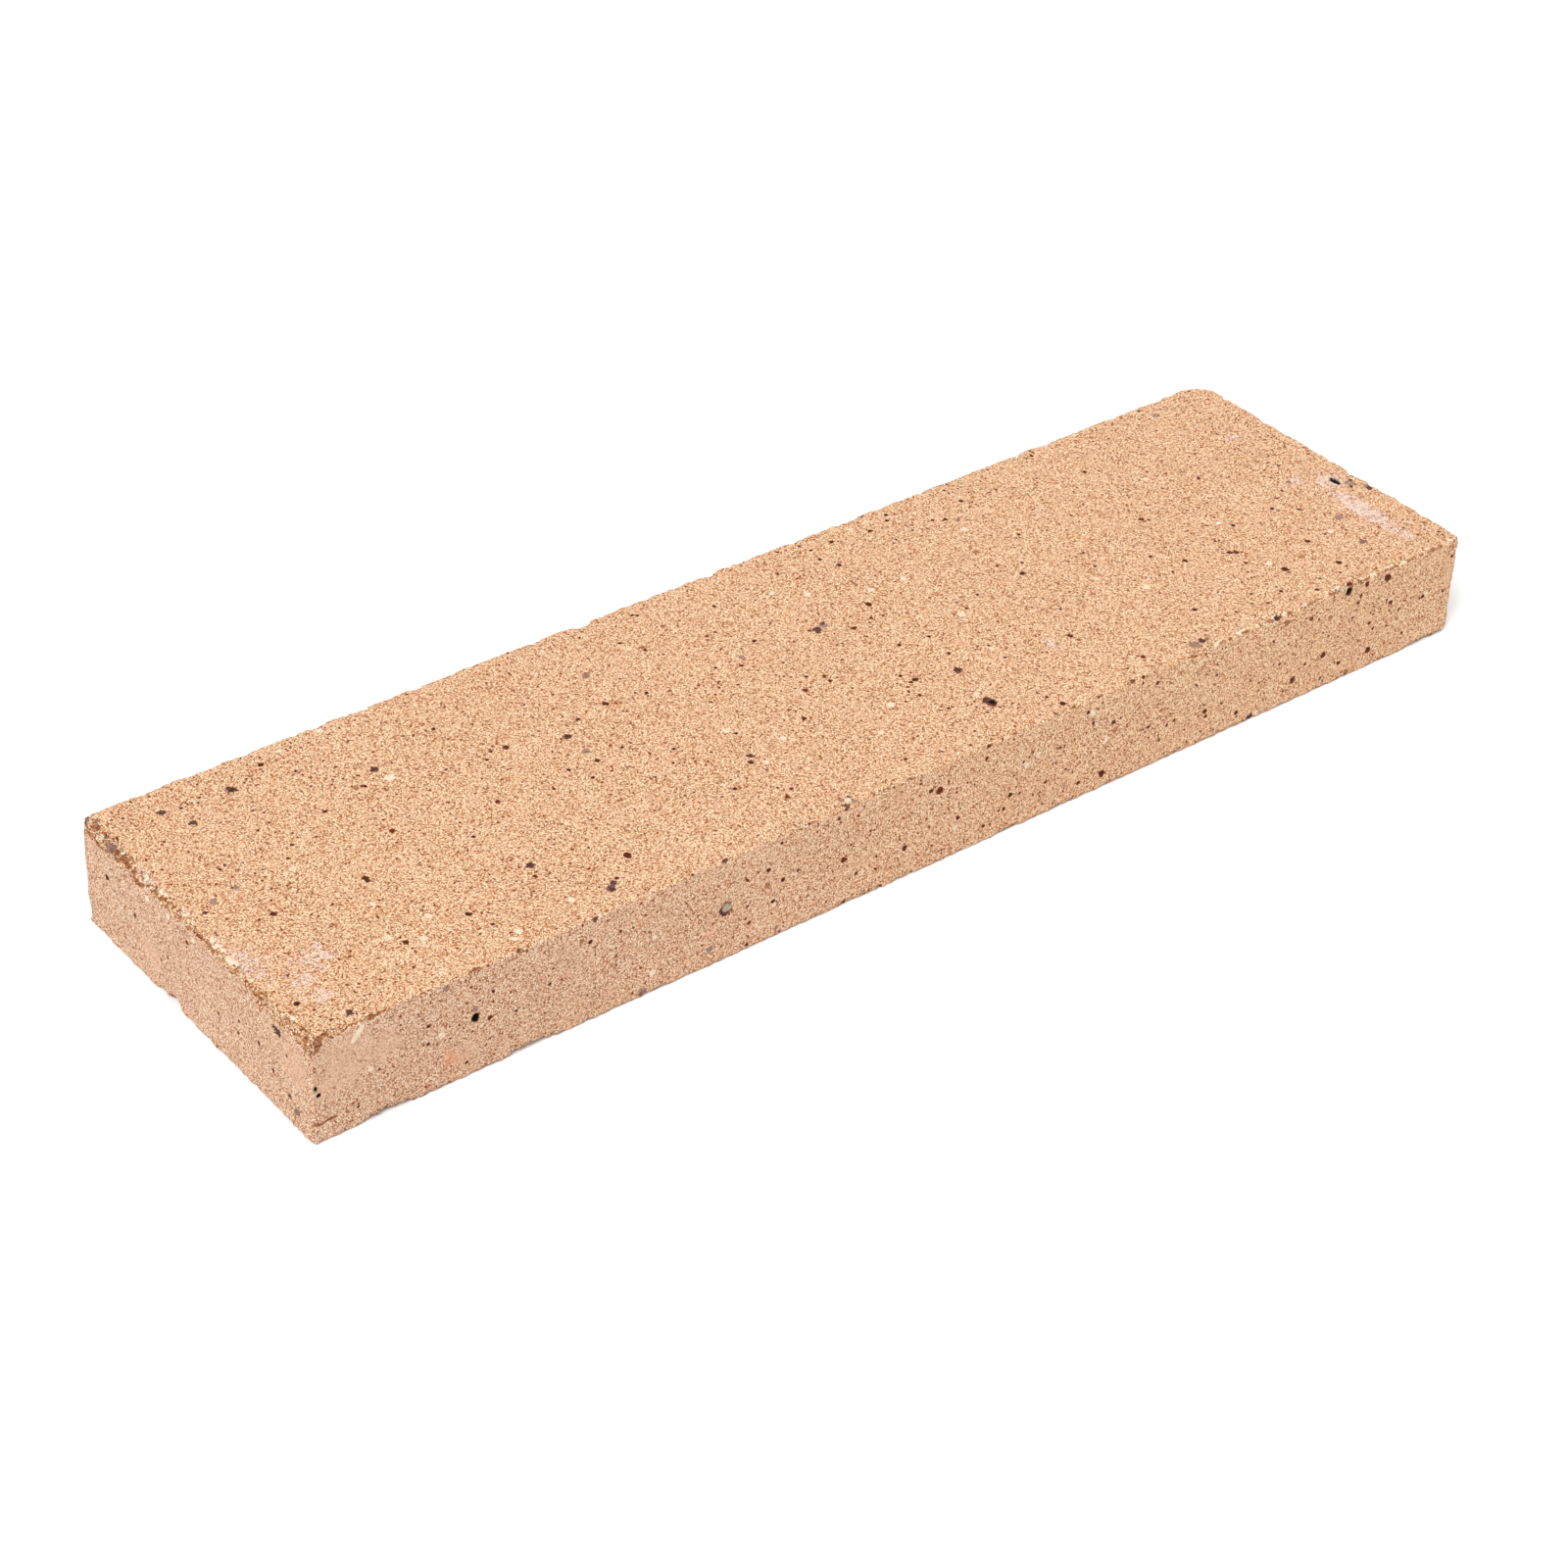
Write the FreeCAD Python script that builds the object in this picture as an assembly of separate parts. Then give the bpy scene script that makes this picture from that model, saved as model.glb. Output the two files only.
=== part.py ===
"""A thin refractory firebrick, pressed from fireclay and fired in one piece.

The brick lies on its broad face. X runs along its length from the near end to the far end,
Y across its width from the front face to the back face, and Z up through its thickness.
The origin is the middle of the lower broad face. Sizes are in millimetres.

It is a plain slab, and its character is in its wear: uneven upright corners, an arris at the
near end that has crumbled along its whole length, hollow chips at corners and arrises, and
open pores where gas or burnt-out grains left a void at the surface.
"""

import FreeCAD, Part
import math
import os

# Overall size
brick_length = 230.0
brick_width = 65.0
brick_thickness = 19.0

# Upright corners, seen from above. The far back one is worn round.
near_front_corner_radius = 0.6
near_back_corner_radius = 1.4
far_front_corner_radius = 0.8
far_back_corner_radius = 5.0

# Every arris round the two broad faces is slightly rubbed
top_arris_radius = 0.4
bed_arris_radius = 0.45

# The crumbled arris at the top of the near end, from the front corner to the back corner.
# Each pair is how far the break runs over the top face and how far it drops down the end.
crumbled_arris = [
    (1.5, 3.0), (0.9, 1.9), (1.1, 1.7), (0.8, 0.8), (0.9, 0.7), (0.8, 0.7),
    (0.9, 0.8), (1.3, 1.0), (1.7, 1.4), (2.1, 1.9), (1.8, 1.6),
]

# How far a tool reaches out past the face that it cuts
overrun = 4.0

near_end = -brick_length / 2
far_end = brick_length / 2
front = -brick_width / 2
back = brick_width / 2
bed = 0.0
top = brick_thickness

# Hollow chips: the place on the arris or corner, the way that the chip flew off, its length
# along the arris and how deep it bites there.
chips = {
    "front corner of the near end": {
        "place": (near_end, front, top), "outward": (-1, -1.6, 1.3), "run": 8.0, "bite": 1.2,
    },
    "back corner of the near end": {
        "place": (near_end, back, top), "outward": (-1.2, 1, 1), "run": 6.0, "bite": 1.1,
    },
    "foot of the near end": {
        "place": (near_end, 6.3, bed), "outward": (-1, 0, -1), "run": 4.6, "bite": 1.5,
    },
    "shallow tail of that foot chip": {
        "place": (near_end, 9.5, bed), "outward": (-1, 0, -1), "run": 5.5, "bite": 0.7,
    },
    "front foot beside the near end": {
        "place": (near_end + 12.5, front, bed), "outward": (0, -1, -1), "run": 11.0, "bite": 0.7,
    },
    "front foot farther along": {
        "place": (near_end + 37.5, front, bed), "outward": (0, -1, -1), "run": 11.0, "bite": 0.7,
    },
    "front foot beside the far end": {
        "place": (far_end - 5.5, front, bed), "outward": (0, -1, -1), "run": 14.0, "bite": 0.6,
    },
    "foot corner of the far end": {
        "place": (far_end, front, bed), "outward": (1, -1, -0.8), "run": 6.0, "bite": 1.2,
    },
    "front corner of the far end": {
        "place": (far_end, front, top), "outward": (1, -1, 1.4), "run": 3.6, "bite": 0.8,
    },
    "front arris by the far end": {
        "place": (far_end - 27.5, front, top), "outward": (0, -1, 1), "run": 3.2, "bite": 0.7,
    },
    "back arris by the far end": {
        "place": (far_end - 37.5, back, top), "outward": (0, 1, 1), "run": 2.4, "bite": 0.4,
    },
    "back arris at the middle": {
        "place": (3.0, back, top), "outward": (0, 1, 1), "run": 3.0, "bite": 0.5,
    },
    "back arris before the middle": {
        "place": (-23.0, back, top), "outward": (0, 1, 1), "run": 4.0, "bite": 0.9,
    },
}

# Open pores: the place of the mouth's middle, the way in, the pore's length and thickness,
# and how far its long axis leans out of the surface, in degrees.
pores = {
    "slot by the far end": {
        "mouth": (far_end - 4.5, -6.4, top), "inward": (0, 0, -1), "along": (-0.3, 1, 0),
        "long": 2.6, "thick": 1.5, "lean": 30,
    },
    "pit beside the long arris": {
        "mouth": (far_end - 98.0, front + 9.2, top), "inward": (0, 0, -1), "along": (1, 0.2, 0),
        "long": 2.4, "thick": 1.3, "lean": 15,
    },
    "round void in the front face": {
        "mouth": (near_end + 27.9, front, 10.2), "inward": (0, 1, 0), "along": (0.2, 0, 1),
        "long": 2.2, "thick": 1.5, "lean": 35,
    },
    "upper void by the front corner": {
        "mouth": (near_end + 1.6, front, 9.9), "inward": (0, 1, 0), "along": (1, 0, -1),
        "long": 1.3, "thick": 0.8, "lean": 20,
    },
    "lower void by the front corner": {
        "mouth": (near_end + 2.1, front, 8.6), "inward": (0, 1, 0), "along": (0, 0, 1),
        "long": 1.0, "thick": 0.8, "lean": 30,
    },
    "void low on the near end": {
        "mouth": (near_end, front + 6.1, 4.9), "inward": (1, 0, 0), "along": (0, -0.3, 1),
        "long": 1.3, "thick": 0.9, "lean": 25,
    },
    "void under the crumbled arris": {
        "mouth": (near_end, front + 9.9, 15.2), "inward": (1, 0, 0), "along": (0, -0.5, 1),
        "long": 1.6, "thick": 1.0, "lean": 25,
    },
}


def vector(x, y, z):
    return FreeCAD.Vector(x, y, z)


def corner_arc(corner, radius, before, after):
    """Arc that rounds an outline corner, between the directions that lead to its two tangent points."""
    start = corner + before * radius
    end = corner + after * radius
    centre = start + after * radius
    middle = centre + (corner - centre).normalize() * radius
    return Part.Arc(start, middle, end).toShape()


def slab_outline():
    """The brick seen from above: four straight sides joined by corners that are worn unevenly."""
    along, across = vector(1, 0, 0), vector(0, 1, 0)
    arcs = [
        corner_arc(vector(near_end, front, bed), near_front_corner_radius, across, along),
        corner_arc(vector(far_end, front, bed), far_front_corner_radius, -along, across),
        corner_arc(vector(far_end, back, bed), far_back_corner_radius, -across, -along),
        corner_arc(vector(near_end, back, bed), near_back_corner_radius, along, -across),
    ]
    edges = []
    for arc, following in zip(arcs, arcs[1:] + arcs[:1]):
        edges.append(arc)
        edges.append(Part.makeLine(arc.lastVertex().Point, following.firstVertex().Point))
    return Part.Wire(edges)


def flat_face(*points):
    return Part.Face(Part.makePolygon([*points, points[0]]))


def edges_at_height(solid, height):
    """Every edge that lies flat at this height."""
    return [
        edge for edge in solid.Edges
        if abs(edge.BoundBox.ZMin - height) < 1e-6 and abs(edge.BoundBox.ZMax - height) < 1e-6
    ]


def pressed_slab():
    """The slab as it left the press, with its arrises rubbed."""
    slab = Part.Face(slab_outline()).extrude(vector(0, 0, brick_thickness))
    slab = slab.makeFillet(top_arris_radius, edges_at_height(slab, top))
    return slab.makeFillet(bed_arris_radius, edges_at_height(slab, bed))


def crumbled_arris_tool():
    """Faceted wedge that breaks the arris off the near end, deeper at the two corners."""
    rings = []
    spacing = brick_width / (len(crumbled_arris) - 1)
    for number, (over_top, down_end) in enumerate(crumbled_arris):
        y = front + number * spacing
        # The wedge goes on past the corners, so that it leaves no wafer there
        if number == 0:
            y -= overrun
        if number == len(crumbled_arris) - 1:
            y += overrun
        arris = vector(near_end, y, top)
        inner = arris + vector(over_top, 0, 0)
        lower = arris - vector(0, 0, down_end)
        # The break's own slope, carried on past both faces
        slope = (inner - lower).normalize()
        outer = vector(near_end - overrun, y, top + overrun)
        rings.append([inner + slope * overrun, lower - slope * overrun, outer])

    faces = [flat_face(*rings[0]), flat_face(*rings[-1])]
    for ring, following in zip(rings, rings[1:]):
        for side in range(3):
            a, b = ring[side], ring[(side + 1) % 3]
            c, d = following[(side + 1) % 3], following[side]
            faces += [flat_face(a, b, c), flat_face(a, c, d)]
    return Part.Solid(Part.Shell(faces))


def chip_tool(place, outward, run, bite):
    """Ball that leaves a hollow chip of this run and bite in the arris or corner at this place."""
    radius = run ** 2 / (8 * bite) + bite / 2
    direction = vector(*outward).normalize()
    return Part.makeSphere(radius, vector(*place) + direction * (radius - bite))


def pore_tool(mouth, inward, along, long, thick, lean):
    """Egg-shaped void, turned about its long axis, that opens on a face and leans into the brick."""
    half_long = long / 2
    half_thick = thick / 2
    half_outline = Part.Arc(
        Part.Ellipse(vector(0, 0, 0), half_long, half_thick), 0, math.pi
    ).toShape()
    axis_line = Part.makeLine(vector(-half_long, 0, 0), vector(half_long, 0, 0))
    egg = Part.Face(Part.Wire([half_outline, axis_line])).revolve(
        vector(0, 0, 0), vector(1, 0, 0), 360
    )
    inward = vector(*inward)
    along = vector(*along).normalize()
    angle = math.radians(lean)
    long_axis = along * math.cos(angle) + inward * math.sin(angle)
    turn = FreeCAD.Rotation(vector(1, 0, 0), long_axis)
    egg.Placement = FreeCAD.Placement(vector(*mouth), turn)
    return Part.Solid(egg) if egg.ShapeType != "Solid" else egg


def firebrick():
    brick = pressed_slab()
    brick = brick.cut(crumbled_arris_tool())
    for chip in chips.values():
        brick = brick.cut(chip_tool(**chip))
    for pore in pores.values():
        brick = brick.cut(pore_tool(**pore))
    return brick.Solids[0]


os.makedirs("parts", exist_ok=True)
brick = firebrick()
brick.exportStep("parts/firebrick.step")
print("valid", brick.isValid(), "faces", len(brick.Faces), "volume cm3", round(brick.Volume / 1000, 2))
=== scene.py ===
import bmesh
import bpy
import math
import random
from mathutils import Matrix, Vector, kdtree, noise


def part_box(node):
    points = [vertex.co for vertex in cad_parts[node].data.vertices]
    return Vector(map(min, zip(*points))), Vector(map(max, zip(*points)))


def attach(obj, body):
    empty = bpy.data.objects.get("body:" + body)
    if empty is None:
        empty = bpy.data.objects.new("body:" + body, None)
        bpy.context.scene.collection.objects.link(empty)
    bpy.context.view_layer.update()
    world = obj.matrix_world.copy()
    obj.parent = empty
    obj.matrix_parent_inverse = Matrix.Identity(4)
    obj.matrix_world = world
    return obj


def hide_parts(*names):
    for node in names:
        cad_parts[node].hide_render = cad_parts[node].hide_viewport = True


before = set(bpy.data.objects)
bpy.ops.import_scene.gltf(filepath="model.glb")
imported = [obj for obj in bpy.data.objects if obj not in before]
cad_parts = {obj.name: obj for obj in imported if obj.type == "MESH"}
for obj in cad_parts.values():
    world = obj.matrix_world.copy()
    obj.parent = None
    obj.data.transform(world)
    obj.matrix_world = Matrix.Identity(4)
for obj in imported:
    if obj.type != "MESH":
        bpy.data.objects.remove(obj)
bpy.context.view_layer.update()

# A thin firebrick, worn and speckled. It is modelled in millimetres and scaled to metres at the end.
mm = 0.001
low, high = (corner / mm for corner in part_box("firebrick"))
print("frame loaded, brick of", [round(side, 1) for side in high - low], "mm")

slab = {
    "cell": 2.0,             # spacing of the first cuts, halved on every side but the bed
    # How near to wear or to a mark a cell has to lie to be halved again, and then once more
    "fine": {"arris": 2.2, "break": 4.5, "mark": 0.9},
    "finest": {"arris": 0.9, "break": 3.0, "mark": 0.35},
    "cornerRadii": {(-1, -1): 0.6, (-1, 1): 1.4, (1, -1): 0.8, (1, 1): 5.0},
    "arrisRadius": 0.36,
    "footRadius": 0.55,      # the arrises round the bed are rougher
    "leastRadius": 0.12,
    "arrisWander": 0.35,     # how much the radii come and go along an arris
    # How far each side falls in, the corners between them, and how deep into the brick that is felt
    "wallWander": {(0, -1): 0.12, (0, 1): 0.4, (-1, 0): 0.15, (1, 0): 0.3},
    "cornerWander": 0.25,
    "wallDepth": 6.0,
    "grainRelief": 0.07,
    "slagRelief": 0.12,      # slag has shrunk into its seat
    # The long sides are pinker towards the near end: half so at this x, and over so many mm
    "pinkFrom": -50,
    "pinkOver": 30,
    "seed": 11,
}

# Noise by size: mm across and its share
waves = {
    "wall": ((9, 0.7), (3.5, 0.6), (1.4, 0.45)),
    "arris": ((4, 0.8), (1.3, 0.9), (0.6, 0.5)),
    "over": ((1.3, 0.7), (0.6, 0.4)),
    "down": ((1.5, 0.6), (0.7, 0.4)),
    "chip": ((1.7, 0.3), (0.7, 0.25)),
    "grain": ((6, 0.25), (1.9, 0.15), (0.8, 0.55)),
    "slag": ((0.6, 1),),
    "gap": ((2.2, 0.3),),
    "void": ((0.7, 0.25),),
}

# The arris that crumbled, from the front corner to the back: run over the top, drop down the end
crumble = {
    "stations": [
        (1.5, 3.0), (0.9, 1.9), (1.1, 1.7), (0.8, 0.8), (0.9, 0.7), (0.8, 0.7),
        (0.9, 0.8), (1.3, 1.0), (1.7, 1.4), (2.1, 1.9), (1.8, 1.6),
    ],
    "within": 7,             # mm from the arris, past the furthest that the break reaches
    "swell": 2.6,            # mm, how quickly the break swells and pinches on its way
    "ragged": 1.1,           # and how much
    "least": 0.25,           # the share of its run and drop that is always broken
    "relief": 0.5,
    "crumbs": 26,            # pale crumbs left along it
    "crumbsIn": (0.1, 1.6),  # how far in from the end they lie
    "crumbSize": (0.4, 0.9),
}

# Hollow chips: the place on the arris or corner, the way out of it, the run along it and the bite
chips = [
    {"place": (low.x, low.y, high.z), "out": (-1, -1.6, 1.3), "run": 8.0, "bite": 1.2},
    {"place": (low.x, 6.3, low.z), "out": (-1, 0, -1), "run": 4.6, "bite": 1.5},
    {"place": (low.x, 9.5, low.z), "out": (-1, 0, -1), "run": 5.5, "bite": 0.7},
    {"place": (low.x, high.y, high.z), "out": (-1.2, 1, 1), "run": 6.0, "bite": 1.1},
    {"place": (-110.5, low.y, high.z), "out": (0, -1, 1), "run": 7.0, "bite": 0.7},
    {"place": (-104.0, low.y, high.z), "out": (0, -1, 1), "run": 3.4, "bite": 0.45},
    {"place": (-95.0, low.y, high.z), "out": (0, -1, 1), "run": 3.0, "bite": 0.35},
    {"place": (-86.5, low.y, high.z), "out": (0, -1, 1), "run": 2.2, "bite": 0.4},
    {"place": (-102.5, low.y, low.z), "out": (0, -1, -1), "run": 11.0, "bite": 0.7},
    {"place": (-77.5, low.y, low.z), "out": (0, -1, -1), "run": 11.0, "bite": 0.7},
    {"place": (high.x - 5.5, low.y, low.z), "out": (0, -1, -1), "run": 14.0, "bite": 0.6},
    {"place": (high.x, low.y, low.z), "out": (1, -1, -0.8), "run": 6.0, "bite": 1.2},
    {"place": (high.x, low.y, high.z), "out": (1, -1, 1.4), "run": 3.6, "bite": 0.8},
    {"place": (high.x - 27.5, low.y, high.z), "out": (0, -1, 1), "run": 3.2, "bite": 0.7},
    {"place": (-23.0, high.y, high.z), "out": (0, 1, 1), "run": 4.0, "bite": 0.9},
    {"place": (3.0, high.y, high.z), "out": (0, 1, 1), "run": 3.0, "bite": 0.5},
    {"place": (77.5, high.y, high.z), "out": (0, 1, 1), "run": 2.4, "bite": 0.4},
]

# Nibbles thrown at random along the arrises: from where to where, the way out and how many
nibbles = {
    "strips": [
        {"from": (52, low.y, high.z), "to": (113, low.y, high.z), "out": (0, -1, 1), "count": 22},
        {"from": (-80, low.y, high.z), "to": (50, low.y, high.z), "out": (0, -1, 1), "count": 14},
        {"from": (-113, high.y, high.z), "to": (108, high.y, high.z), "out": (0, 1, 1), "count": 22},
        {"from": (high.x, -30, high.z), "to": (high.x, 26, high.z), "out": (1, 0, 1), "count": 9},
    ],
    "run": (1.2, 2.6),
    "bite": (0.25, 0.45),
}

# Pale crumbs between the nibbles of the front arris, each with a dark rusty one beside it, partly rust and
# partly painted shade of the notches
arrisCrumbs = {
    "from": (56, low.y + 0.3), "to": (113, low.y + 0.3), "count": 34,
    "stray": (-0.3, 0.4), "size": (0.3, 0.9),
    "rustyBeside": (0.7, 1.1), "rustyOut": 0.2, "rustySize": (0.4, 0.9),
}

# What is baked into each face: place across the face and how far across the mark is.
# Top is seen from above as x, y. Front is x, z. End is y, z.
marks = {
    "slag": {
        "top": [
            (-104, 26.5, 1.4), (-92.5, 25.5, 1.8), (-101.5, 21.5, 1.2), (-72, 17.5, 1.3), (-66.5, -16.5, 1.4),
            (-60, -28, 1.5), (-59, -27, 1.1), (-106.5, -30, 1.0), (-43, 7.5, 1.3), (7.4, 8.8, 1.7),
            (9.3, 9.7, 0.7), (-23, -13, 1.0), (18.5, -13.5, 1.5), (17, -23.3, 2.2), (-18.9, -32.1, 0.9),
            (-17.3, -30.4, 0.4), (56.7, -30, 1.2), (71.7, -32.2, 1.0), (111.6, -9.4, 0.7), (113.1, -7.8, 0.6),
            (113.9, -11.6, 1.0),
        ],
        "front": [
            (-66, 18.6, 1.0), (-42, 9.6, 2.6), (-42.3, 18.9, 0.9), (-19, 18.6, 0.8), (-19, 0.6, 0.8),
            # The last one, at (67.8, 0.5) on the foot, is a painted contact shadow rather than slag
            (72, 19, 1.2), (67.8, 0.5, 1.6),
        ],
        "end": [(-23.9, 15.1, 1.5)],
    },
    "grey": {
        "top": [
            (-109, 3, 1.2), (-104.5, 4, 0.9), (-31, 19.5, 1.3), (-43, 2.5, 1.0), (-7.5, 9.5, 0.9),
            (9, 9.2, 1.5), (-17.4, -31.9, 0.9), (-18.8, -30.6, 0.8), (55, -30.3, 1.9), (57.6, -30.1, 0.8),
            (112.3, -8.4, 1.7), (114, -10.8, 0.8), (102.5, -15.5, 1.5), (100, -23.5, 1.0), (103.5, -2, 0.9),
            (100, 28.5, 1.1), (48, 21.5, 0.7),
        ],
        "front": [(-87.2, 11.9, 0.9), (-57.5, 1, 1.6), (-45, 3.3, 1.2), (-92, 17.9, 1.0), (-32.3, 1.6, 0.8)],
        "end": [(24.5, 18.8, 1.6), (-28.2, 3.5, 1.4)],
    },
    "stone": {"front": [(-41.8, 9.8, 1.7)]},
    "skin": {
        "front": [(-110, 12, 9), (-103, 13, 6), (-89, 4.5, 4)],
        "end": [(-28, 12, 7), (12, 6.5, 5)],
    },
    "rustAndShade": {
        "top": [
            (-77, 15, 1.0), (-12.5, 24, 0.8), (-19, 21, 0.8), (44, 12, 1.0), (88, -21, 1.2), (-79, 4, 0.7),
        ],
        "front": [
            (-113.7, 17.2, 1.2), (-68.5, 15.5, 0.8), (-34.1, 10.6, 0.9), (36.5, 10.8, 1.0), (60.3, 0.3, 0.9),
            (90.3, 0.8, 0.9), (84.4, 14.2, 1.0), (74, 17, 0.9),
        ],
    },
    "blush": {
        "top": [(-84, -20, 1.6), (-60, 12, 1.5), (24, -8, 1.4), (62, 4, 1.6)],
        "front": [(-91.5, 4.6, 2.6), (-58, 14, 1.5), (-45, 6, 1.4)],
    },
    "fleck": {
        "top": [
            (-103.5, -4.5, 1.0), (-88, -5, 1.0), (-88.1, -5.8, 0.6), (-53.5, -23, 1.3), (-85.5, 28.5, 0.9),
            (-52.5, 10.5, 1.0), (-55, 11, 0.5), (-80.5, -21, 1.0), (-91.5, -21.2, 0.8), (-111.5, -24, 0.9),
            (-78.5, 2.5, 0.9), (-84, 12.5, 0.7), (-92.5, 8.2, 0.5), (-104.2, 9.2, 0.5), (-67.5, -19, 0.5),
            (-79, -25, 0.5), (-58, -26.5, 0.6), (-43, -0.5, 0.9), (-33, 11.3, 1.0), (-39, 10.3, 0.6),
            (-5, -4, 0.9), (-24, -14.6, 0.8), (-30.2, -18.7, 0.6), (-25, -25, 0.7), (-4, -27.8, 0.6),
            (19, 9.8, 1.0), (12.5, 5.6, 0.9), (11.2, -11.7, 1.0), (10.1, -11.9, 0.6), (17, -24.2, 1.1),
            (76.5, 21, 0.8), (74, 3.6, 0.9), (71, -10.5, 0.9), (80, -13.6, 0.9), (83, -22.2, 1.3),
            (62, -22.6, 0.9), (83, -30, 0.7), (73, -24.5, 0.5), (88.7, -31.9, 1.0), (98, -4.8, 0.6),
            (106, 3, 0.5), (-48, 0, 0.6), (-61.5, -0.5, 0.7), (-97.5, 26.5, 0.4), (-26, 10, 0.6),
            (-14, 29, 0.5), (-9, 7.5, 0.6), (-3, 12, 0.6), (0, -2.5, 0.6), (-2.5, -1, 0.6), (-10, -10, 0.7),
            (10, -9.5, 0.6), (9, -15.5, 0.6), (20.5, -9, 0.6), (15.5, -2.5, 0.6), (26, -30.5, 1.0),
            (40, -16.5, 0.9), (33.5, 27.5, 0.7), (22.5, 22, 0.8), (26, 28.5, 0.7), (38, 28.5, 0.6),
            (39, 30, 0.7), (21.5, 28.5, 0.5), (52.5, 26, 0.8), (72.5, 30.5, 0.6), (44.5, 24, 0.5),
            (46.5, 23, 0.5), (46, 2.3, 0.9), (53.5, 12, 0.6), (91.5, 8, 0.6), (85.5, -7, 0.7),
            (95, -6.8, 0.7), (57.5, -3, 0.6), (79, -13, 0.8), (79, -17, 0.6), (92.5, -18, 0.9),
            (92, -26, 1.0), (45.5, -28, 0.7),
        ],
        "front": [
            (-95, 12.4, 0.5), (-95.3, 9.3, 0.5), (-88.9, 2.8, 0.5), (-84.7, 9.1, 0.8), (-74.2, 10.3, 0.6),
            (-66.9, 14.8, 0.7), (-61.5, 14.3, 0.4), (-34, 13.4, 0.7), (-31.2, 10.3, 0.7), (-28.3, 10.8, 0.4),
            (-33, 7.1, 0.7), (-37.5, 4.9, 0.5), (-19.5, 9, 1.0), (-20.7, 17.3, 0.5), (-16.7, 5.2, 0.6),
            (9.2, 18.7, 0.8), (92.5, 17.8, 0.9), (-14, 0.8, 0.5), (-7.2, 6, 1.0), (-2.3, 14.8, 0.7),
            (-0.6, 14.2, 1.3), (1.2, 15.2, 0.4), (3.6, 7.1, 0.6), (8.9, 16.4, 0.6), (14.5, 7, 0.8),
            (13.3, 4.8, 0.6), (21.9, 6.4, 0.5), (9.2, 3.2, 0.5), (30, 16.7, 0.7), (35.9, 12.4, 0.8),
            (34.4, 3, 1.2), (29.2, 3.2, 0.7), (45, 16.5, 0.7), (41.8, 18.9, 0.7), (46.8, 4.5, 0.5),
            (49.7, 7.2, 0.5), (24.6, 12, 0.4), (56.8, 6.1, 0.9), (57.3, 5, 0.6), (64.3, 2.9, 0.8),
            (77, 4.4, 1.2), (83.9, 6.8, 1.1), (79.8, 15.7, 0.7), (73.5, 9, 0.5), (88.1, 3.6, 0.7),
            (95, 3.6, 1.1), (91, 14.6, 0.6), (91.4, 15.8, 0.5), (99.1, 11.7, 0.7), (98, 12.6, 0.4),
            (101.5, 9.3, 0.5), (103.1, 4, 0.5), (97.5, 17.2, 1.4), (95.5, 7.8, 0.5), (107.2, 9.9, 0.6),
            (112.3, 9.1, 0.5),
        ],
        "end": [
            (24.7, 12.6, 0.9), (-22, 7, 0.7), (-7, 7.4, 0.6), (7.3, 8.5, 0.4), (9.5, 6.7, 0.5),
            (16.5, 10.5, 0.7), (-18.4, 9.5, 0.7), (1, 15.4, 0.7), (-12.5, 7.5, 0.5), (-13, 10, 0.5),
            (-26.2, 12.6, 0.5),
        ],
    },
    "grog": {
        "top": [
            (-93, -19, 1.2), (-89, -22, 1.2), (-85.5, -18, 1.1), (-77, -28.5, 1.1), (-81.5, 30, 1.0),
            (-73.5, 31, 1.0), (-71.5, 14, 1.6), (-22, -5.5, 1.3), (3.5, -15, 1.4), (22, 13, 1.0),
            (31, 30, 0.9), (28.5, 12.5, 1.0), (12.5, 18, 1.2), (83.5, 13, 1.0), (-22, -16, 0.9),
            (16.5, -20.5, 1.0), (-16, -12.5, 0.9), (-2.5, -20, 0.9), (27, -12, 0.9), (98, -18, 1.1),
            (84, -5, 0.9), (-114.2, 3.2, 1.7), (-113.8, -4.6, 1.3), (-113.9, -6.2, 1.0), (-113.9, 8.5, 0.9),
            (86.4, -32, 1.4), (-18.1, -31.2, 0.9), (91.5, -32.1, 0.8), (94.5, -32.2, 0.8), (-90.5, -11, 0.8),
            (-66.5, -27, 1.0), (-78.5, -29.8, 0.9), (60, -13, 1.2), (82, -19.5, 1.0), (29.5, -1.5, 1.3),
            (55, -6, 0.9), (8, 21.5, 0.9), (47, 18.5, 1.2),
        ],
        "front": [
            (-55.8, 3.8, 1.1), (-55.4, 10.4, 0.8), (-93, 9.8, 1.0), (-105, 9.5, 0.8), (-32.8, 6.3, 0.8),
            (31, 16.1, 1.1), (34.5, 9.6, 1.0), (3.2, 5.4, 0.9), (17.5, 11.5, 0.9), (19.8, 12.8, 0.9),
            (69, 1.1, 0.8), (86.8, 19, 1.2), (104.9, 15.6, 0.7), (107.9, 10, 0.7), (-65.4, 18.8, 0.7),
        ],
        "end": [(12, 16.5, 1.0), (6, 17, 0.9), (-1, 17, 0.8)],
    },
}
softMarks = ("blush", "skin")          # these need no finer mesh

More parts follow.
